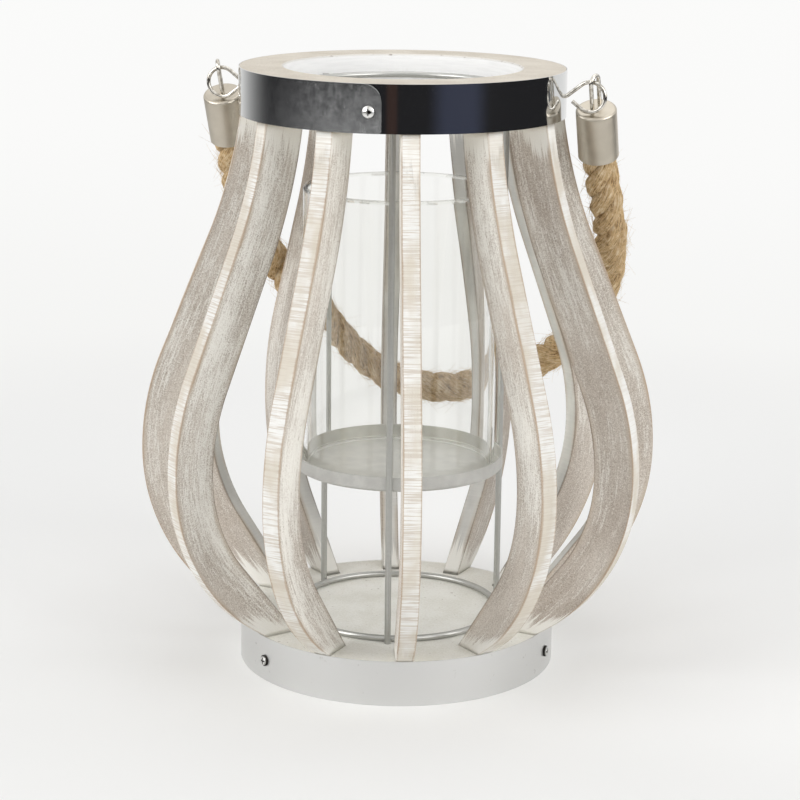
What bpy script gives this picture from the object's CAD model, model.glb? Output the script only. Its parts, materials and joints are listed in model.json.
# %% [markdown]
# # A hurricane candle lantern
# Twelve bent board slats stand between a banded base and a banded top ring. Inside stand
# a wire frame with a tray and a clear glass cylinder, and a thick rope hangs from two eyes.
# The solids of the lantern come in as a fixed frame. This lesson gives each of them its
# finish, and makes anew what needs finer shape: the bent slats and the laid rope.

# %% Load the solids
import json
import math
import random

import bpy
from mathutils import Matrix, Vector, noise


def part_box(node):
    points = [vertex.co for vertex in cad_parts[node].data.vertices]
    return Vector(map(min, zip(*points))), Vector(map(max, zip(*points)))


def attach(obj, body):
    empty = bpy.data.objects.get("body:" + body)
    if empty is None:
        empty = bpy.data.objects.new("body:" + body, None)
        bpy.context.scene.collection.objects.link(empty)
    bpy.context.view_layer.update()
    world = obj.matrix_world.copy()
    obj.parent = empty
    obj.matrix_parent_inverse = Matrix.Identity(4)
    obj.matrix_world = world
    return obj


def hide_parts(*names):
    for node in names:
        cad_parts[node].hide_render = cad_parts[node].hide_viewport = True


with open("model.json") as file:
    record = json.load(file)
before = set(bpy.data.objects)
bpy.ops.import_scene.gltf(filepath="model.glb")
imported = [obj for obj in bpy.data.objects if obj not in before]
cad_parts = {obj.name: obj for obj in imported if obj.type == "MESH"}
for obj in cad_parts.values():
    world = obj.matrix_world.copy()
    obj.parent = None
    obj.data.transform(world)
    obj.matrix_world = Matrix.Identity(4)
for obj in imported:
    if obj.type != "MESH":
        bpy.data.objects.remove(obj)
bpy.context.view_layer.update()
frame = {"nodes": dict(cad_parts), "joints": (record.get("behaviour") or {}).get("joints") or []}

# %% [markdown]
# ## Camera
# The lantern was photographed from a little to its right and from above, with a long lens.
# The place and the three turns below were worked out from the two round bands, whose
# ellipses give the height, the distance and the lens. A camera could be aimed at a target
# by a constraint, but that leaves no roll. So the turns are applied one by one, in the order
# in which a photographer makes them: swing round, tip down, then a slight roll.

# %% Set up the camera
CAMERA_AT = Vector((0.2988, -1.1534, 0.4355))
CAMERA_SWING = math.radians(14.5)
CAMERA_DIP = math.radians(14.057)
CAMERA_ROLL = math.radians(0.682)
CAMERA_LENS = 106.39
SENSOR_WIDTH = 36.0

camera = bpy.data.objects.new("camera", bpy.data.cameras.new("camera"))
camera.data.lens = CAMERA_LENS
camera.data.sensor_width = SENSOR_WIDTH
camera.matrix_world = (
    Matrix.Translation(CAMERA_AT)
    @ Matrix.Rotation(CAMERA_SWING, 4, "Z")
    @ Matrix.Rotation(math.pi / 2 - CAMERA_DIP, 4, "X")
    @ Matrix.Rotation(CAMERA_ROLL, 4, "Z")
)
bpy.context.scene.collection.objects.link(camera)
bpy.context.scene.camera = camera
bpy.context.scene.view_settings.view_transform = "Standard"
print("camera:", [round(x, 3) for x in camera.location])

# %% [markdown]
# ## A way to write finishes
# A finish is a small calculation done at every point of a surface. Drawn as boxes and
# lines it soon becomes hard to read, so here a socket is wrapped in a class that knows
# plus, minus and times. Then 1 - mask is written just like that, and the nodes follow.

# %% Shader sums as plain expressions
class Wire:
    """A shader socket that takes part in sums as a number does."""

    def __init__(self, nodes, socket):
        self.nodes = nodes
        self.socket = socket

    def __add__(self, other):
        return self.nodes.calc("ADD", self, other)

    def __radd__(self, other):
        return self.nodes.calc("ADD", other, self)

    def __sub__(self, other):
        return self.nodes.calc("SUBTRACT", self, other)

    def __rsub__(self, other):
        return self.nodes.calc("SUBTRACT", other, self)

    def __mul__(self, other):
        return self.nodes.calc("MULTIPLY", self, other)

    def __rmul__(self, other):
        return self.nodes.calc("MULTIPLY", other, self)

    def __abs__(self):
        return self.nodes.calc("ABSOLUTE", self)

    def least(self, other):
        """The smaller of two values."""
        return self.nodes.calc("MINIMUM", self, other)

    def most(self, other):
        """The larger of two values."""
        return self.nodes.calc("MAXIMUM", self, other)

    def rises(self, low, high):
        """A mask that goes smoothly from 0 at low to 1 at high."""
        return self.nodes.node(
            "ShaderNodeMapRange",
            {"interpolation_type": "SMOOTHSTEP"},
            {"Value": self, "From Min": low, "From Max": high},
        )


class Nodes:
    """A node tree, and the one method that adds a node to it."""

    def __init__(self, tree):
        self.tree = tree

    def plug(self, socket, value):
        if isinstance(value, Wire):
            self.tree.links.new(value.socket, socket)
        else:
            socket.default_value = value

    def node(self, kind, settings=None, sockets=None, out=0):
        made = self.tree.nodes.new(kind)
        for name, value in (settings or {}).items():
            setattr(made, name, value)
        for name, value in (sockets or {}).items():
            self.plug(made.inputs[name], value)
        return Wire(self, made.outputs[out])

    def calc(self, operation, *values):
        return self.node("ShaderNodeMath", {"operation": operation}, dict(enumerate(values)))

    def ray(self, fact):
        """A fact about the ray of light that is followed, such as Is Shadow Ray."""
        return self.node("ShaderNodeLightPath", out=fact)

    def vector(self, x, y, z):
        return self.node("ShaderNodeCombineXYZ", sockets={"X": x, "Y": y, "Z": z})

    def parts(self, vector):
        made = self.node("ShaderNodeSeparateXYZ", sockets={"Vector": vector})
        return [Wire(self, socket) for socket in made.socket.node.outputs]

    def noise(self, at, scale, detail=2.0, rough=0.5):
        sockets = {"Vector": at, "Scale": scale, "Detail": detail, "Roughness": rough}
        return self.node("ShaderNodeTexNoise", sockets=sockets)

    def streaks(self, x, y, z, detail=2.0, rough=0.5):
        """Noise that is drawn out, because each direction comes in with a scale of its own."""
        return self.noise(self.vector(x, y, z), 1.0, detail, rough)

    def mix(self, first, second, share):
        sockets = {0: share, 6: first, 7: second}
        return self.node("ShaderNodeMix", {"data_type": "RGBA"}, sockets, out=2)


MAP_NAME = "sizes"


class Finish(Nodes):
    """A material: one Principled shader and the sums that feed it."""

    def __init__(self, name, **fixed):
        self.material = bpy.data.materials.new(name)
        self.material.use_nodes = True
        super().__init__(self.material.node_tree)
        self.shader = self.tree.nodes["Principled BSDF"]
        for word, value in fixed.items():
            self.set(word.replace("_", " ").title().replace("Ior", "IOR"), value)

    def set(self, socket, value):
        self.plug(self.shader.inputs[socket], value)

    def place(self):
        """The point on the lantern, in metres."""
        return self.node("ShaderNodeTexCoord", out="Object")

    def reach(self):
        """The distance from the upright axis of the lantern, in metres."""
        x, y, _ = self.parts(self.place())
        return self.calc("SQRT", x * x + y * y)

    def sizes(self):
        """The two numbers of the map of a new piece."""
        along, across, _ = self.parts(self.node("ShaderNodeUVMap", {"uv_map": MAP_NAME}))
        return along, across

    def bump(self, height, depth, strength=1.0):
        sockets = {"Height": height, "Distance": depth, "Strength": strength}
        self.set("Normal", self.node("ShaderNodeBump", sockets=sockets))


def paint(red, green, blue):
    """A colour named by its screen values, 0 to 255, as the shader wants it."""
    screen = [value / 255 for value in (red, green, blue)]
    light = [c / 12.92 if c <= 0.04045 else ((c + 0.055) / 1.055) ** 2.4 for c in screen]
    return (*light, 1.0)


def dress(finish, *nodes):
    """Gives solids of the frame a finish."""
    for name in nodes:
        mesh = frame["nodes"][name].data
        mesh.materials.clear()
        mesh.materials.append(finish.material)
    print(finish.material.name, "on", len(nodes), "solids")


def new_piece(name, points, faces, finish, maps=None):
    """A new mesh, smooth shaded, with a map of one pair of numbers per face corner."""
    mesh = bpy.data.meshes.new(name)
    mesh.from_pydata(points, [], faces)
    mesh.materials.append(finish.material)
    if maps:
        layer = mesh.uv_layers.new(name=MAP_NAME)
        for corner, pair in zip(layer.data, maps):
            corner.uv = pair
    mesh.shade_smooth()
    piece = bpy.data.objects.new(name, mesh)
    bpy.context.scene.collection.objects.link(piece)
    return piece


# %% [markdown]
# ## Rope handle
# The handle is a thick jute rope of three strands, laid to the right, which hangs in a
# bow behind the cage. A plain tube with a bump map would look like a hose, because the
# lay shows in the outline. So each strand is swept as its own tube round the rope's line,
# with low ridges for its yarns. The line passes through the same points as the solid.

# %% The line of the rope
HINGE_X = sum(corner.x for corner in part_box("rope_cap_right")) / 2
swing_joint = next(joint for joint in frame["joints"] if joint["name"] == "handle_swing")
HINGE_Z = swing_joint["pos_m"][2]
CAP_TILT = math.radians(25)
ROPE_D = 0.0175
ROPE_STEP = 0.0015
CURVE_STEPS = 24

# How far from the hinge, down the middle of a cap, the rope starts and the cap ends
ROPE_FROM = 0.0186
CAP_END = 0.0418

# The knots between the caps, from the right one round the back to the left one
FREE_ROUTE = [
    (0.099, 0.034, 0.243), (0.099, 0.053, 0.220), (0.094, 0.077, 0.195), (0.083, 0.102, 0.170),
    (0.069, 0.118, 0.150), (0.050, 0.1315, 0.134), (0.025, 0.1405, 0.118), (-0.007, 0.143, 0.1105),
    (-0.037, 0.138, 0.115), (-0.058, 0.1295, 0.128), (-0.074, 0.115, 0.148), (-0.086, 0.097, 0.171),
    (-0.094, 0.077, 0.195), (-0.099, 0.053, 0.220), (-0.099, 0.034, 0.243),
]


def on_cap(side, far):
    """A point on a cap's middle line, so far from the hinge."""
    return (side * HINGE_X, far * math.sin(CAP_TILT), HINGE_Z - far * math.cos(CAP_TILT))


def smooth_line(knots, step):
    """Points at an even step on a smooth curve through the knots."""
    knots = [Vector(knot) for knot in knots]
    ends = [2 * knots[0] - knots[1], *knots, 2 * knots[-1] - knots[-2]]
    fine = []
    for before, start, end, after in zip(ends, ends[1:], ends[2:], ends[3:]):
        for i in range(CURVE_STEPS):
            t = i / CURVE_STEPS
            pull = (end - before) * t + (2 * before - 5 * start + 4 * end - after) * t**2
            fine.append(start + (pull + (3 * start - before - 3 * end + after) * t**3) / 2)
    fine.append(knots[-1])
    line, left = [fine[0]], step
    for start, end in zip(fine, fine[1:]):
        far = (end - start).length
        while far >= left:
            start = start.lerp(end, left / far)
            line.append(start)
            far = (end - start).length
            left = step
        left -= far
    return line


in_right_cap = [on_cap(1, ROPE_FROM), on_cap(1, CAP_END)]
in_left_cap = [on_cap(-1, CAP_END), on_cap(-1, ROPE_FROM)]
route = [*in_right_cap, *FREE_ROUTE, *in_left_cap]
rope_line = smooth_line(route, ROPE_STEP)
rope_length = ROPE_STEP * (len(rope_line) - 1)
print("rope length:", round(rope_length, 4))

# %% [markdown]
# ## Jute
# Jute yarn is the colour of straw, with pale hairs on it, and brown where strands meet.
# One colour with a bump would look like plastic, and a picture of rope would not follow
# the lay. So the finish reads a map of each strand, along it and round it. It draws the
# noise out along the yarns, and darkens the side of a strand that is turned inwards.

# %% Jute finish
STRANDS = 3
LAY = 0.045
STRAND_R = 0.0053
FULLNESS = 1.03
HELIX_R = FULLNESS * ROPE_D / 2 - STRAND_R
YARN_TWIST = HELIX_R / (LAY * STRAND_R)
HAIR_TWIST = 1.3

jute = Finish("twisted_jute", roughness=0.95, specular_ior_level=0.1)
along, round_strand = jute.sizes()
across_yarns = (round_strand + along * YARN_TWIST) * 46
fibre = jute.streaks(along * 190, across_yarns, 0.0, detail=5.0, rough=0.7)
tuft = jute.noise(jute.place(), scale=210.0, detail=4.0, rough=0.65)
tone = fibre * 0.6 + tuft * 0.4
across_hairs = (round_strand + along * YARN_TWIST * HAIR_TWIST) * 100
hairline = jute.streaks(along * 120, across_hairs, 4.0, detail=3.0, rough=0.6)
straw = jute.mix(paint(134, 102, 66), paint(211, 180, 135), tone.rises(0.38, 0.5))
straw = jute.mix(straw, paint(240, 222, 190), tone.rises(0.5, 0.6))
straw = jute.mix(straw, paint(246, 230, 200), hairline.rises(0.58, 0.66) * 0.7)
turned_out = abs(jute.calc("FRACT", round_strand) - 0.5) * 2
in_groove = 1 - turned_out.rises(0.46, 0.66)
jute.set("Base Color", jute.mix(straw, paint(104, 72, 42), in_groove * 0.75))
jute.bump(fibre + tuft * 0.7, depth=0.0014)
print("jute finish:", len(jute.tree.nodes), "nodes")

# %% Lay the three strands
SIDES = 36
YARNS = 6
YARN_RIDGE = 0.11
SWELL = 0.15
SWELLS_PER_METRE = 60
STRAND_SEED = 4.7
COARSE_LUMP, COARSE_LUMPS_PER_METRE = 0.10, 130
FINE_LUMP, FINE_LUMPS_PER_METRE = 0.06, 420
FIRST_ACROSS = Vector((0.3, 0.2, 0.9))


def frames_along(line):
    """At each point the way along the line and one way across it, without sudden turns."""
    across = FIRST_ACROSS
    for i, point in enumerate(line):
        along_line = (line[min(i + 1, len(line) - 1)] - line[max(i - 1, 0)]).normalized()
        across = (across - across.dot(along_line) * along_line).normalized()
        yield point, along_line, across


def strand_line(number):
    """The middle of one strand and the way outwards from the rope, all along the rope."""
    middles, outs = [], []
    for i, (point, along_line, across) in enumerate(frames_along(rope_line)):
        turn = 2 * math.pi * (number / STRANDS + i * ROPE_STEP / LAY)
        outward = Matrix.Rotation(turn, 3, along_line) @ across
        swell_at = Vector((i * ROPE_STEP * SWELLS_PER_METRE, STRAND_SEED * number, 0.0))
        swell = 1 + SWELL * noise.noise(swell_at)
        middles.append(point + outward * HELIX_R * swell)
        outs.append(outward)
    return middles, outs


def tube(rings, around, base=0):
    """A closed tube: its quads as corners (ring, place round it), and all of its faces."""
    quads = []
    for i in range(rings - 1):
        quads += [[(i, k), (i, k + 1), (i + 1, k + 1), (i + 1, k)] for k in range(around)]
    faces = [[base + i * around + k % around for i, k in quad] for quad in quads]
    faces.append([base + k for k in reversed(range(around))])
    faces.append([base + (rings - 1) * around + k for k in range(around)])
    return quads, faces


points, faces, maps = [], [], []
for number in range(STRANDS):
    middles, outs = strand_line(number)
    rings = len(middles)
    quads, strand_faces = tube(rings, SIDES, len(points))
    faces += strand_faces
    for i, (middle, along_strand, _) in enumerate(frames_along(middles)):
        outward = (outs[i] - outs[i].dot(along_strand) * along_strand).normalized()
        beside = along_strand.cross(outward)
        for k in range(SIDES):
            share = k / SIDES
            ridge = abs(math.sin(math.pi * YARNS * (share + i * ROPE_STEP * YARN_TWIST)))
            angle = 2 * math.pi * share
            way_out = math.cos(angle) * outward + math.sin(angle) * beside
            spot = middle + STRAND_R * way_out
            lump = COARSE_LUMP * noise.noise(spot * COARSE_LUMPS_PER_METRE)
            lump += FINE_LUMP * noise.noise(spot * FINE_LUMPS_PER_METRE)
            points.append(middle + STRAND_R * (1 - YARN_RIDGE * (1 - ridge) + lump) * way_out)
    maps += [(i * ROPE_STEP, k / SIDES + number) for quad in quads for i, k in quad]
    for i in (0, rings - 1):
        maps += [(i * ROPE_STEP, number)] * SIDES
rope = new_piece("laid_rope", points, faces, jute, maps)
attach(rope, "handle")
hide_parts("handle_rope")
print("rope faces:", len(faces))

# %% [markdown]
# ## Loose fibres
# Jute is hairy: short pale ends stand out of the strands all along the rope. Particle hair
# would not travel with the model, so each end is a thin three-sided quill of real mesh.
# The draw of places and bends is seeded, so that every run gives the same rope.

# %% Loose fibres on the rope
FIBRES = 2400
FIBRE_R = 0.0001
FIBRE_TAPER = 0.6
FIBRE_STEPS = 4
FIBRE_SIDES = 3
FIBRE_ROOT = ROPE_D * 0.47
FIBRE_LENGTHS = (0.004, 0.014)
FIBRE_CURL = (-0.5, 0.8)
FIBRE_SLANT = (0.2, 1.2)
FIBRE_SEED = 7
BARE_END = 0.025

hair = Finish("loose_jute", roughness=0.9, specular_ior_level=0.2)
hair_tone = hair.noise(hair.place(), scale=90.0)
hair.set("Base Color", hair.mix(paint(196, 164, 116), paint(236, 218, 182), hair_tone))

draw = random.Random(FIBRE_SEED)
last_free = rope_length - BARE_END
free_rings = [i for i in range(len(rope_line)) if BARE_END < i * ROPE_STEP < last_free]
rope_frames = list(frames_along(rope_line))
points, faces = [], []
for _ in range(FIBRES):
    point, along_line, across = rope_frames[draw.choice(free_rings)]
    outward = Matrix.Rotation(draw.uniform(0, 2 * math.pi), 3, along_line) @ across
    beside = along_line.cross(outward) * draw.choice((-1, 1))
    length = draw.uniform(*FIBRE_LENGTHS)
    lift = 0.03 + 0.5 * draw.random() ** 3
    curl = draw.uniform(*FIBRE_CURL)
    heading = along_line * draw.choice((-1, 1)) + beside * draw.uniform(*FIBRE_SLANT)
    heading = heading.normalized()
    _, fibre_faces = tube(FIBRE_STEPS + 1, FIBRE_SIDES, len(points))
    faces += fibre_faces
    for i in range(FIBRE_STEPS + 1):
        far = i / FIBRE_STEPS
        rise = lift * far - curl * lift * far * far
        middle = point + outward * (FIBRE_ROOT + length * rise) + heading * length * far
        thin = FIBRE_R * (1 - FIBRE_TAPER * far)
        for k in range(FIBRE_SIDES):
            angle = 2 * math.pi * k / FIBRE_SIDES
            points.append(middle + thin * (math.cos(angle) * outward + math.sin(angle) * beside))
fibres = new_piece("rope_fibres", points, faces, hair)
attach(fibres, "handle")
print("fibres:", FIBRES)

# %% [markdown]
# ## Whitewashed board
# The slats are sawn from grey-brown fibreboard and dry-brushed with white: streaks run
# along the broad sides, the sawn edges took the paint in fine ticks across, the arrises
# are rubbed back to tan, and both ends are nearly white. A picture of brushed board would
# repeat from slat to slat. So the finish is laid out on a map in real metres, along the
# bent slat and round it, and the whole metres of the map number the slats.

# %% Board finish
SLAT_T = 0.009
SLAT_W = 0.021
SLAT_GIRTH = 2 * (SLAT_T + SLAT_W)
SLATS = 12

BARE_DARK = paint(158, 145, 132)
BARE_PALE = paint(216, 208, 198)
WASH = paint(241, 239, 232)
CREAM = paint(213, 206, 193)
EDGE_WHITE = paint(233, 232, 228)
INSIDE_DARK = paint(196, 195, 191)
INSIDE_PALE = paint(222, 221, 216)
TAN = paint(188, 173, 154)
RUBBED = paint(172, 148, 124)
RUBBED_INSIDE = paint(126, 112, 98)

# The slats are numbered from 0: the palest is at the front, five stand at the back
PALEST_SLAT = 8.2
BACK_SLAT = 3
BACK_SPAN = 2.5

# Lengths and widths on the board, in metres
WASH_FROM = 0.06
WASH_FULL = 0.14
WHITE_END = 0.012
END_FADE = 0.004
BRUSH_RUN = 0.05
DIP_RUN = 0.045
ARRIS = 0.0005
FACE_EDGE = 0.0002
WORN_W = 0.0009
CORNER_W = 0.003
TICK_WEAR = 0.0008
PATCH_WEAR = 0.0025


def board_finish(slat_length):
    board = Finish("whitewashed_board", roughness=0.85, specular_ior_level=0.25)
    metres, girth = board.sizes()
    along = board.calc("FRACT", metres)
    number = metres - along
    seed = number * 7.3

    # The slats at the front took most of the wash, the first one half, those at the back some
    facing = board.calc("COSINE", (number - PALEST_SLAT) * (2 * math.pi / SLATS))
    first = 1 - number.rises(0.4, 0.6)
    at_back = 1 - abs(number - BACK_SLAT).rises(BACK_SPAN - 0.1, BACK_SPAN + 0.1)
    washed = facing.rises(0.1, 0.8).most(first * 0.5).most(at_back * 0.4)

    # Bare board: a fine two-tone speckle
    speck = board.noise(board.place(), scale=1600.0, rough=0.7)
    cloud = board.streaks(along * 22, girth * 70, seed, detail=3.0)
    bare = board.mix(BARE_DARK, BARE_PALE, (speck * 0.7 + cloud * 0.4).rises(0.3, 0.78))

    # Dry-brushed streaks along the broad sides, in patches, thinner near arrises and foot
    corner = girth
    for turn in (SLAT_T, SLAT_T + SLAT_W, SLAT_GIRTH - SLAT_W, SLAT_GIRTH):
        corner = corner.least(abs(girth - turn))
    streak = board.streaks(along * 70, girth * 1000, seed, detail=4.0, rough=0.75)
    patch = board.streaks(along * 15, girth * 70, seed + 3.1)
    below = 1 - along.rises(WASH_FROM, WASH_FULL)
    wiped = patch * 0.8 + corner.rises(ARRIS, CORNER_W) * 0.16 + washed * 0.16 - below * 0.1
    brushed = (streak * 1.2 + speck * 0.5 + wiped).rises(1.36, 1.7)
    dabbed = speck.rises(0.25, 0.7) * (0.34 - below * 0.14)
    side = board.mix(bare, WASH, brushed * 0.7 + washed * dabbed)

    # Sawn edges: ticks across the edge, more or less filled with paint
    tick = board.streaks(along * 1500, girth * 50, seed)
    fill = board.streaks(along * 26, girth * 50, seed + 9.7, detail=3.0)
    filled = fill.rises(0.4, 0.6)
    edge = board.mix(CREAM, EDGE_WHITE, filled)
    cut = (1 - tick).rises(0.44, 0.6) * (0.3 + filled * 0.3) * (0.3 + washed * 0.7)
    edge = board.mix(edge, TAN, cut)

    # Which face this is, from the way round the section: outer edge, side, inner edge, side
    half_t = SLAT_T / 2
    from_inner = abs(girth - (SLAT_T + SLAT_W + half_t))
    on_outer = 1 - girth.rises(SLAT_T - FACE_EDGE, SLAT_T + FACE_EDGE)
    on_inner = 1 - from_inner.rises(half_t - FACE_EDGE, half_t + FACE_EDGE)
    inner = board.mix(INSIDE_DARK, INSIDE_PALE, (fill + tick * 0.15).rises(0.45, 0.8))
    colour = board.mix(board.mix(side, edge, on_outer), inner, on_inner)

    # Arrises rubbed back to tan, darker along the inner edge
    ragged_corner = corner + (tick - 0.5) * TICK_WEAR + (fill - 0.5) * PATCH_WEAR
    worn = 1 - ragged_corner.rises(FACE_EDGE, WORN_W)
    stain = (1 - corner.rises(2 * FACE_EDGE, CORNER_W)) * cloud.rises(0.4, 0.6) * (1 - on_outer)
    near_inner = 1 - from_inner.rises(half_t + CORNER_W / 3, half_t + CORNER_W)
    rubbed = board.mix(RUBBED, RUBBED_INSIDE, near_inner)
    colour = board.mix(board.mix(colour, TAN, stain * 0.6), rubbed, worn * 0.6)

    # White ends with a ragged brush line, longer on some slats and on some streaks
    ragged = board.streaks(along * 9, girth * 700, seed + 5.0, detail=5.0, rough=0.75)
    dip = board.streaks(along * 4, girth * 45, seed * 1.7 + 2.0, detail=1.0)
    brush_line = (ragged - 0.5) * BRUSH_RUN + (dip - 0.5) * DIP_RUN
    from_end = along.least(slat_length - along) + brush_line
    white_end = 1 - from_end.rises(WHITE_END - END_FADE, WHITE_END + END_FADE)
    colour = board.mix(colour, WASH, white_end * (1 - worn * 0.5) * (0.92 - on_outer * 0.6))

    board.set("Base Color", colour)
    height = speck * 0.5 + brushed * 0.4 + tick * on_outer * 0.9
    board.bump(height * (1 - white_end * 0.7), depth=0.00022)
    return board


# %% [markdown]
# ## Slats
# A slat is one flat board cut to an S: a tight belly below, a straight flank and a slow
# reverse curve into the top ring, with its foot cut level. A curve with a bevel would end
# square to its line and could not give the level cuts. So the two long edges are drawn as
# arcs and lines in the plane of the slat, and a section with slightly rounded arrises is
# carried along them. The same shape turned twelve times makes the cage.

# %% The two edges of a slat
BASE_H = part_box("base_disc")[1].z
RING_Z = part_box("top_ring")[0].z
HALF_W = SLAT_W / 2
FOOT_R = 0.0816
NECK_R = 0.07095
CAGE_R = 0.133
BELLY_R = CAGE_R - HALF_W
BELLY_UP = 0.0885
UPPER_R = 0.125
FLANK = 0.068
NECK_LEAN = math.radians(7.3)
FOOT_TURN = math.radians(38)

# Steps along the stretches of an edge; both edges have the same number of points
FOOT_STEPS = 26
STRAIGHT_STEPS = 12
UPPER_STEPS = 14
FLANK_STEPS = 6
NECK_STEPS = 16

# The stretches run into one another without a kink, which gives the other radii and centres
foot_in = BELLY_R - FOOT_R
lower_r = (foot_in**2 + BELLY_UP**2 - HALF_W**2) / (2 * foot_in + SLAT_W)
belly_z = BASE_H + BELLY_UP
lower_c = Vector((BELLY_R - lower_r, belly_z))
upper_c = Vector((BELLY_R - UPPER_R, belly_z))
neck_way = Vector((math.cos(NECK_LEAN), math.sin(NECK_LEAN)))
reach = Vector((NECK_R, RING_Z)) - upper_c
bend_r = (reach.dot(reach) - UPPER_R**2 - FLANK**2) / (2 * (UPPER_R - reach.dot(neck_way)))
neck_c = Vector((NECK_R, RING_Z)) + bend_r * neck_way
span = neck_c - upper_c
flank_turn = math.atan2(span.y, span.x) - math.atan2(FLANK, UPPER_R + bend_r)


def spread(start, end, steps):
    return [start + (end - start) * i / steps for i in range(steps + 1)]


def arc(centre, radius, start, end, steps):
    return [centre + radius * Vector((math.cos(a), math.sin(a))) for a in spread(start, end, steps)]


def edge_line(out):
    """The outer (out = 1) or inner (out = -1) edge from foot to ring: reach and height."""
    low_r = lower_r + out * HALF_W
    if out > 0:
        foot = arc(lower_c, low_r, -math.asin(BELLY_UP / low_r), 0, FOOT_STEPS)
    else:
        turn = lower_c + low_r * Vector((math.cos(FOOT_TURN), -math.sin(FOOT_TURN)))
        down = (turn.y - BASE_H) / math.cos(FOOT_TURN)
        way = Vector((math.sin(FOOT_TURN), math.cos(FOOT_TURN)))
        foot = [turn - way * far for far in spread(down, 0, STRAIGHT_STEPS)]
        foot += arc(lower_c, low_r, -FOOT_TURN, 0, FOOT_STEPS - STRAIGHT_STEPS)[1:]
    upper = arc(upper_c, UPPER_R + out * HALF_W, 0, flank_turn, UPPER_STEPS)
    flank_way = Vector((-math.sin(flank_turn), math.cos(flank_turn)))
    flank = [upper[-1] + flank_way * far for far in spread(0, FLANK, FLANK_STEPS)]
    top_r = bend_r - out * HALF_W
    top_turn = math.asin((neck_c.y - RING_Z) / top_r)
    neck = arc(neck_c, top_r, math.pi + flank_turn, math.pi + top_turn, NECK_STEPS)
    return foot + upper[1:] + flank[1:] + neck[1:]


outer_line = edge_line(1)
inner_line = edge_line(-1)
middle_line = [(a + b) / 2 for a, b in zip(outer_line, inner_line)]
lengths = [0.0]
for start, end in zip(middle_line, middle_line[1:]):
    lengths.append(lengths[-1] + (end - start).length)
print("slat length:", round(lengths[-1], 4))

# %% Make the twelve slats
FIRST_SLAT = math.radians(17.5)


def section():
    """Points round the slat: share of the width from inside out, side, and girth."""
    corners = [
        (1, 1, SLAT_T, 0), (0, 1, SLAT_T + SLAT_W, 90),
        (0, -1, SLAT_GIRTH - SLAT_W, 180), (1, -1, SLAT_GIRTH, 270),
    ]
    for outer, side, girth, start in corners:
        for turn in (0, 45, 90):
            angle = math.radians(start + turn)
            across = (ARRIS if outer == 0 else SLAT_W - ARRIS) + ARRIS * math.cos(angle)
            thick = side * (SLAT_T / 2 - ARRIS) + ARRIS * math.sin(angle)
            yield across / SLAT_W, thick, girth + ARRIS * math.radians(turn - 45)


board = board_finish(lengths[-1])
ring_points = list(section())
around = len(ring_points)
quads, faces = tube(len(lengths), around)

# The outer edge closes the section, and there the way round starts anew at about 0
girth_to = [girth for _, _, girth in ring_points]
girth_from = [*girth_to[:-1], girth_to[-1] - SLAT_GIRTH]
for number in range(SLATS):
    turn = Matrix.Rotation(FIRST_SLAT + number * 2 * math.pi / SLATS, 3, "Z")
    points, maps = [], []
    for outer, inner in zip(outer_line, inner_line):
        for share, thick, _ in ring_points:
            spot = inner.lerp(outer, share)
            points.append(turn @ Vector((spot.x, thick, spot.y)))
    for quad in quads:
        here = quad[0][1]
        girths = (girth_from[here], girth_to[(here + 1) % around])
        maps += [(number + lengths[i], girths[k - here]) for i, k in quad]
    for i in (0, len(lengths) - 1):
        maps += [(number + lengths[i], SLAT_T / 2)] * around
    slat = new_piece(f"board_slat_{number + 1:02d}", points, faces, board, maps)
    normals = slat.modifiers.new("flat sides", "WEIGHTED_NORMAL")
    normals.keep_sharp = True
    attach(slat, "cage")
    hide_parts(f"slat_{number + 1:02d}")
print("slats:", SLATS, "faces each:", len(faces))

# %% [markdown]
# ## Base disc and top ring
# Both are turned from the same board. The base is washed nearly white and shows specks
# and brush marks. The flat of the ring is left beige, its bore is painted white, and the
# lip of the bore is chipped. The solids carry no map, and unwrapping them would only move
# the marks about, so their finishes read the place on the lantern instead.

# %% Disc and ring finish
MOUTH_R = 0.06
RING_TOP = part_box("top_ring")[1].z
PAINT_EDGE = 0.0003
LIP = 0.0012

disc = Finish("washed_disc", roughness=0.85, specular_ior_level=0.25)
spot = disc.place()
x, y, z = disc.parts(spot)
speck = disc.noise(spot, scale=900.0, detail=3.0, rough=0.7)
cloud = disc.noise(spot, scale=45.0, detail=3.0)
brush = disc.streaks(x * 40, y * 700, z * 60, detail=3.0, rough=0.6)
pale = (speck * 0.6 + cloud * 0.5).rises(0.4, 0.66)
cream = disc.mix(paint(233, 231, 221), paint(246, 245, 238), pale)
cream = disc.mix(cream, WASH, brush.rises(0.5, 0.75) * 0.6)
fleck = disc.noise(spot, scale=420.0, rough=0.4).rises(0.70, 0.76)
disc.set("Base Color", disc.mix(cream, BARE_DARK, fleck * 0.4))
disc.bump(speck + brush * 0.6, depth=0.0002)
dress(disc, "base_disc")

ring = Finish("beige_ring", roughness=0.85, specular_ior_level=0.25)
spot = ring.place()
x, y, z = ring.parts(spot)
speck = ring.noise(spot, scale=1100.0, detail=3.0, rough=0.7)
cloud = ring.noise(spot, scale=60.0, detail=3.0)
pale = (speck * 0.7 + cloud * 0.4).rises(0.36, 0.74)
beige = ring.mix(paint(204, 195, 180), paint(230, 223, 210), pale)
in_bore = 1 - ring.reach().rises(MOUTH_R + PAINT_EDGE, MOUTH_R + 3 * PAINT_EDGE)
stroke = ring.streaks(x * 60, y * 60, z * 900, detail=3.0, rough=0.6)
white = ring.mix(paint(246, 246, 245), paint(251, 251, 250), stroke.rises(0.35, 0.6))
colour = ring.mix(beige, white, in_bore)
on_lip = in_bore * z.rises(RING_TOP - LIP, RING_TOP - LIP / 3)
chip = ring.noise(spot, scale=240.0, detail=4.0, rough=0.7).rises(0.58, 0.66)
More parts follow.
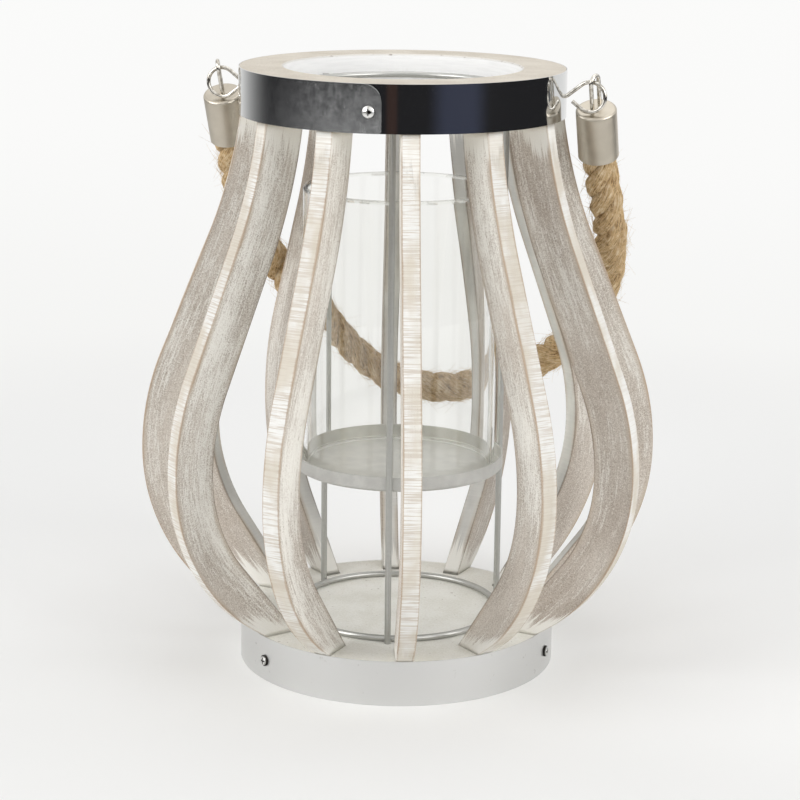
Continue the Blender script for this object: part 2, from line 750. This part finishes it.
colour = ring.mix(colour, paint(206, 200, 190), on_lip * 0.7)
ring.set("Base Color", ring.mix(colour, paint(116, 98, 80), on_lip * chip * 0.9))
ring.bump(speck, depth=0.0002)
dress(ring, "top_ring")

# %% [markdown]
# ## Steel bands
# The upper band is polished like a mirror and dulled by a film of dust left of its seam;
# the lower one is satin. Reflections could be painted on, but they would not move with the
# eye. What a mirror shows is its surroundings, so the finish itself stays simple: a pale
# metal, smudges in its roughness and a few specks of dust.

# %% Polished and satin bands
PLY = 0.0005
FIT_GAP = 0.0001
BAND_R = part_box("top_ring")[1].x + FIT_GAP + PLY
BAND_MID = sum(corner.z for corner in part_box("top_band")) / 2
LAP_START_X = -0.0085
FILM_FROM_X, FILM_TO_X = -0.07, 0.012

mirror = Finish("polished_steel")
spot = mirror.place()
x, y, z = mirror.parts(spot)
smudge = mirror.noise(spot, scale=260.0, detail=6.0, rough=0.8)
on_lap = mirror.reach().rises(BAND_R + 0.4 * PLY, BAND_R + 0.6 * PLY)
left_of_seam = on_lap.most(1 - x.rises(LAP_START_X, LAP_START_X + PLY))
settled = (smudge * 0.7 + (BAND_MID - z) * 8).rises(0.0, 0.62)
film = left_of_seam * x.rises(FILM_FROM_X, FILM_TO_X) * settled
dust = mirror.noise(spot, scale=1400.0).rises(0.74, 0.8) * (0.3 + left_of_seam * 0.5)
mirror.set("Base Color", mirror.mix(paint(210, 211, 211), paint(226, 226, 224), dust))
mirror.set("Metallic", 1 - film * 0.3 - dust * 0.4)
mirror.set("Roughness", 0.04 + smudge * 0.04 + film * 0.12 + dust * 0.4)

# The flats of the rolled sheet would break up the mirror, so its face is shaded as round
NORMALIZE = {"operation": "NORMALIZE"}
DOT_PRODUCT = {"operation": "DOT_PRODUCT"}
faced = mirror.node("ShaderNodeNewGeometry", out="True Normal")
away = mirror.node("ShaderNodeVectorMath", NORMALIZE, {0: mirror.vector(x, y, 0.0)})
agree = mirror.node("ShaderNodeVectorMath", DOT_PRODUCT, {0: faced, 1: away}, out="Value")
mirror.set("Normal", mirror.mix(faced, away, agree.rises(0.9, 0.95)))
dress(mirror, "top_band")

satin = Finish("satin_steel", metallic=1.0)
spot = satin.place()
x, y, z = satin.parts(spot)
rolled = satin.streaks(x * 60, y * 60, z * 2600, detail=3.0, rough=0.6)
dent = satin.noise(spot, scale=28.0, rough=0.4)
mark = satin.noise(spot, scale=220.0, detail=3.0, rough=0.6).rises(0.66, 0.74)
satin.set("Base Color", satin.mix(paint(218, 218, 217), paint(182, 180, 176), mark * 0.5))
satin.set("Roughness", 0.29 + rolled * 0.1 + dent * 0.08)
satin.bump(dent + rolled * 0.04, depth=0.0003, strength=0.5)
dress(satin, "base_band")

# %% [markdown]
# ## Screws, eyes and caps
# The small hardware is plated: zinc on the screws, bright nickel on the eyes and staples,
# satin nickel on the turned caps. At this size a real recess is only a few pixels wide and
# catches stray glints, so the depth of a point in a screw's head also darkens its colour.
# The other finishes hold little but wear, because plated wire lives by what it reflects.

# %% Screws
HEAD_H = 0.0016
HEAD_R = BAND_R + PLY + HEAD_H
RECESS = 0.0012
HOLE_R = 0.0007
HOLE_RIM_R = 0.0012

screw = Finish("zinc_screw", metallic=1.0)
spot = screw.place()
x, y, z = screw.parts(spot)
grime = screw.noise(spot, scale=900.0, detail=3.0)
head = screw.mix(paint(196, 194, 188), paint(240, 240, 237), grime.rises(0.3, 0.5))
proud = screw.reach().rises(HEAD_R - RECESS, HEAD_R - RECESS / 2)

# The head at the seam of the top band is dark in its middle too
low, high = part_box("top_band_screw")
middle = (low + high) / 2
swing = math.atan2(middle.y, middle.x)
across = x * math.sin(swing) - y * math.cos(swing)
off_axis = across * across + (z - middle.z) * (z - middle.z)
proud = proud * off_axis.rises(HOLE_R**2, HOLE_RIM_R**2)
screw.set("Base Color", screw.mix(paint(46, 44, 41), head, proud))
screw.set("Roughness", 0.2 + grime * 0.2)
dress(screw, "base_band_screws", "top_band_screw", "slat_foot_screws")

# %% Eyes, staples, caps and dowels
wire = Finish("bright_nickel", metallic=1.0)
wear = wire.noise(wire.place(), scale=500.0, detail=3.0)
wire.set("Base Color", wire.mix(paint(176, 170, 160), paint(226, 222, 214), wear.rises(0.35, 0.6)))
wire.set("Roughness", 0.1 + wear * 0.2)
dress(wire, "screw_eye_right", "screw_eye_left", "cap_staple_right", "cap_staple_left")

cap = Finish("satin_nickel", metallic=1.0)
spot = cap.place()
x, y, z = cap.parts(spot)
along_cap = z * math.cos(CAP_TILT) - y * math.sin(CAP_TILT)
turned = cap.streaks(x * 50, y * 50, along_cap * 3000)
rub = cap.noise(spot, scale=120.0, detail=3.0)
cap.set("Base Color", cap.mix(paint(190, 182, 168), paint(200, 192, 178), rub.rises(0.3, 0.7)))
cap.set("Roughness", 0.32 + turned * 0.08 + rub * 0.04)
cap.bump(turned, depth=0.00005)
dress(cap, "rope_cap_right", "rope_cap_left")

dowel = Finish("dowel_wood", roughness=0.7)
x, y, z = dowel.parts(dowel.place())
grain = dowel.streaks(x * 900, y * 900, z * 40, detail=3.0)
dowel.set("Base Color", dowel.mix(paint(176, 138, 92), paint(216, 184, 138), grain))
dress(dowel, "slat_top_dowels")

# %% [markdown]
# ## Wire stand and glass
# The stand is welded from drawn wire that was left bright, and its spun tray is sprayed in
# matt silver. The glass is a plain open cylinder. A transparent shader alone would lose its
# rims and edges, so it refracts as real glass does. Three things are eased towards plain
# transparency: its shadow, because light focused by glass is slow to render, its thin upper
# rim, and light that is caught between its walls, which would otherwise end in black.

# %% Silver paint, drawn wire and clear glass
GLASS_FOOT, GLASS_RIM = (corner.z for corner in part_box("glass_cylinder"))
RIM_EDGE = 0.0012
CAUGHT_DEPTH = 4.5

silver = Finish("silver_paint", metallic=0.5)
spot = silver.place()
flake = silver.noise(spot, scale=2600.0)
sprayed = silver.noise(spot, scale=160.0, detail=3.0)
tone = (flake * 0.5 + sprayed * 0.5).rises(0.35, 0.65)
silver.set("Base Color", silver.mix(paint(184, 183, 179), paint(200, 199, 194), tone))
silver.set("Roughness", 0.4 + sprayed * 0.08)
silver.bump(flake + sprayed, depth=0.00004)
dress(silver, "candle_tray")

drawn = Finish("drawn_wire", metallic=0.8)
die_mark = drawn.noise(drawn.place(), scale=700.0, detail=3.0)
drawn.set("Base Color", drawn.mix(paint(178, 178, 174), paint(192, 192, 188), die_mark))
drawn.set("Roughness", 0.3 + die_mark * 0.06)
dress(drawn, "stand_foot_ring", "stand_top_ring", *[f"stand_upright_{i}" for i in (1, 2, 3)])

glass = Finish("clear_glass", transmission_weight=1.0, ior=1.46)
spot = glass.place()
_, _, z = glass.parts(spot)
ground_foot = 1 - z.rises(GLASS_FOOT + RIM_EDGE / 2, GLASS_FOOT + RIM_EDGE)
glass.set("Roughness", ground_foot * 0.6)
film = glass.noise(spot, scale=30.0, detail=3.0)
glass.set("Base Color", glass.mix(paint(251, 251, 249), paint(255, 255, 254), film))
shade = glass.ray("Is Shadow Ray")
caught = glass.ray("Ray Depth").rises(CAUGHT_DEPTH - 0.3, CAUGHT_DEPTH + 0.3)
thin_rim = z.rises(GLASS_RIM - 2 * RIM_EDGE, GLASS_RIM - RIM_EDGE) * 0.7
eased = shade.most(thin_rim).most(caught)
refracting = Wire(glass, glass.shader.outputs[0])
clear = glass.node("ShaderNodeBsdfTransparent", sockets={"Color": paint(250, 250, 248)})
mixed = glass.node("ShaderNodeMixShader", sockets={0: eased, 1: refracting, 2: clear})
glass.plug(glass.tree.nodes["Material Output"].inputs["Surface"], mixed)
dress(glass, "glass_cylinder")

# %% [markdown]
# ## Studio
# A white sheet that runs out of the picture, large soft lamps and a white surround: the
# plain set of a product photograph. Close to the lantern the sheet is lit by the lamps and
# keeps the shadow, and further out it fades into plain white, so that no horizon shows.
# Beyond the sheet the room is dark on the side of the camera. Only mirrors see that far, so
# the room is a low bowl that shows in reflections alone, dark in front and white behind.

# %% Floor
FLOOR_HALF = 12.0
SHEET_LIT = 0.25
SHEET_PLAIN = 0.85
WHITE = paint(247, 247, 246)
BLACK = (0.0, 0.0, 0.0, 1.0)


def stage_piece(name, points, faces, finish):
    """A new piece that belongs to the studio and not to the lantern."""
    piece = new_piece(name, points, faces, finish)
    print(name, "faces:", len(faces))
    return piece


paper = Finish("white_paper", roughness=0.9, specular_ior_level=0.1, emission_strength=1.0)
x, y, _ = paper.parts(paper.place())
far_out = (x * x + y * y).rises(SHEET_LIT**2, SHEET_PLAIN**2)
lit_sheet = paper.mix(paint(236, 236, 234), paint(247, 247, 245), y.rises(-0.16, 0.02))
plain_sheet = paper.mix(paint(238, 238, 236), WHITE, y.rises(-0.6, 2.0))
paper.set("Base Color", paper.mix(lit_sheet, BLACK, far_out))
paper.set("Emission Color", paper.mix(BLACK, plain_sheet, far_out))
signs = ((-1, -1), (1, -1), (1, 1), (-1, 1))
corners = [(right * FLOOR_HALF, back * FLOOR_HALF, 0) for right, back in signs]
stage_piece("floor", corners, [range(4)], paper)

# %% Dark room
ROOM_NEAR = 0.9
ROOM_FAR = 8.0
ROOM_Z = 0.001
ROOM_H = 0.5
ROOM_STEPS = 48

room = Finish("dark_room", roughness=1.0, specular_ior_level=0.0, emission_strength=1.0)
room.set("Base Color", BLACK)
x, y, _ = room.parts(room.place())
bearing = room.calc("ARCTAN2", x, -1 * y) - CAMERA_SWING


def stretch(middle, full, gone):
    """A mask round one bearing: 1 up to the angle full from it and 0 at gone, in degrees."""
    return 1 - abs(bearing - math.radians(middle)).rises(math.radians(full), math.radians(gone))


left_end = (-1 * bearing).rises(math.radians(100), math.radians(165))
right_end = bearing.rises(math.radians(119), math.radians(131))
tone = room.mix(paint(40, 40, 42), paint(66, 70, 86), stretch(39, 8, 24))
tone = room.mix(tone, paint(66, 52, 48), stretch(-7, 2, 5))
room.set("Emission Color", room.mix(tone, WHITE, left_end.most(right_end)))

points, quads = [], []
for i in range(ROOM_STEPS):
    angle = 2 * math.pi * i / ROOM_STEPS
    for reach_out, height in ((ROOM_NEAR, ROOM_Z), (ROOM_FAR, ROOM_Z), (ROOM_FAR, ROOM_H)):
        points.append((reach_out * math.cos(angle), reach_out * math.sin(angle), height))
    here, after = 3 * i, 3 * ((i + 1) % ROOM_STEPS)
    quads += [[here + k, here + k + 1, after + k + 1, after + k] for k in (0, 1)]
bowl = stage_piece("dark_room", points, quads, room)
for ray in ("camera", "diffuse", "transmission", "shadow", "volume_scatter"):
    setattr(bowl, f"visible_{ray}", False)

# %% World and lamps
AMBIENT = 0.6
AIR = paint(250, 250, 252)
AIM = Vector((0.0, 0.0, 0.15))

# What the camera, mirrors and glass see is plain white; the rest lights the lantern softly
world = bpy.data.worlds.new("studio")
world.use_nodes = True
bpy.context.scene.world = world
air = Nodes(world.node_tree)
shown = air.ray("Is Camera Ray").most(air.ray("Is Glossy Ray")).most(air.ray("Is Transmission Ray"))
backdrop = air.node("ShaderNodeBackground", sockets={"Color": WHITE, "Strength": 1.0})
ambient = air.node("ShaderNodeBackground", sockets={"Color": AIR, "Strength": AMBIENT})
sky = air.node("ShaderNodeMixShader", sockets={0: shown, 1: ambient, 2: backdrop})
air.plug(world.node_tree.nodes["World Output"].inputs["Surface"], sky)

# Each lamp has its place, its width in metres and its power in watts
LAMPS = {
    "left": ((-1.4, -1.35, 0.9), 1.4, 23.0),
    "right": ((1.7, -0.8, 0.9), 1.4, 18.4),
    "top": ((0.1, 0.4, 2.0), 1.6, 6.0),
}
for name, (where, size, watts) in LAMPS.items():
    lamp = bpy.data.objects.new(name, bpy.data.lights.new(name, "AREA"))
    lamp.data.shape = "SQUARE"
    lamp.data.size = size
    lamp.data.energy = watts
    lamp.location = where
    lamp.rotation_euler = (AIM - lamp.location).to_track_quat("-Z", "Y").to_euler()
    bpy.context.scene.collection.objects.link(lamp)
print("lamps:", list(LAMPS))
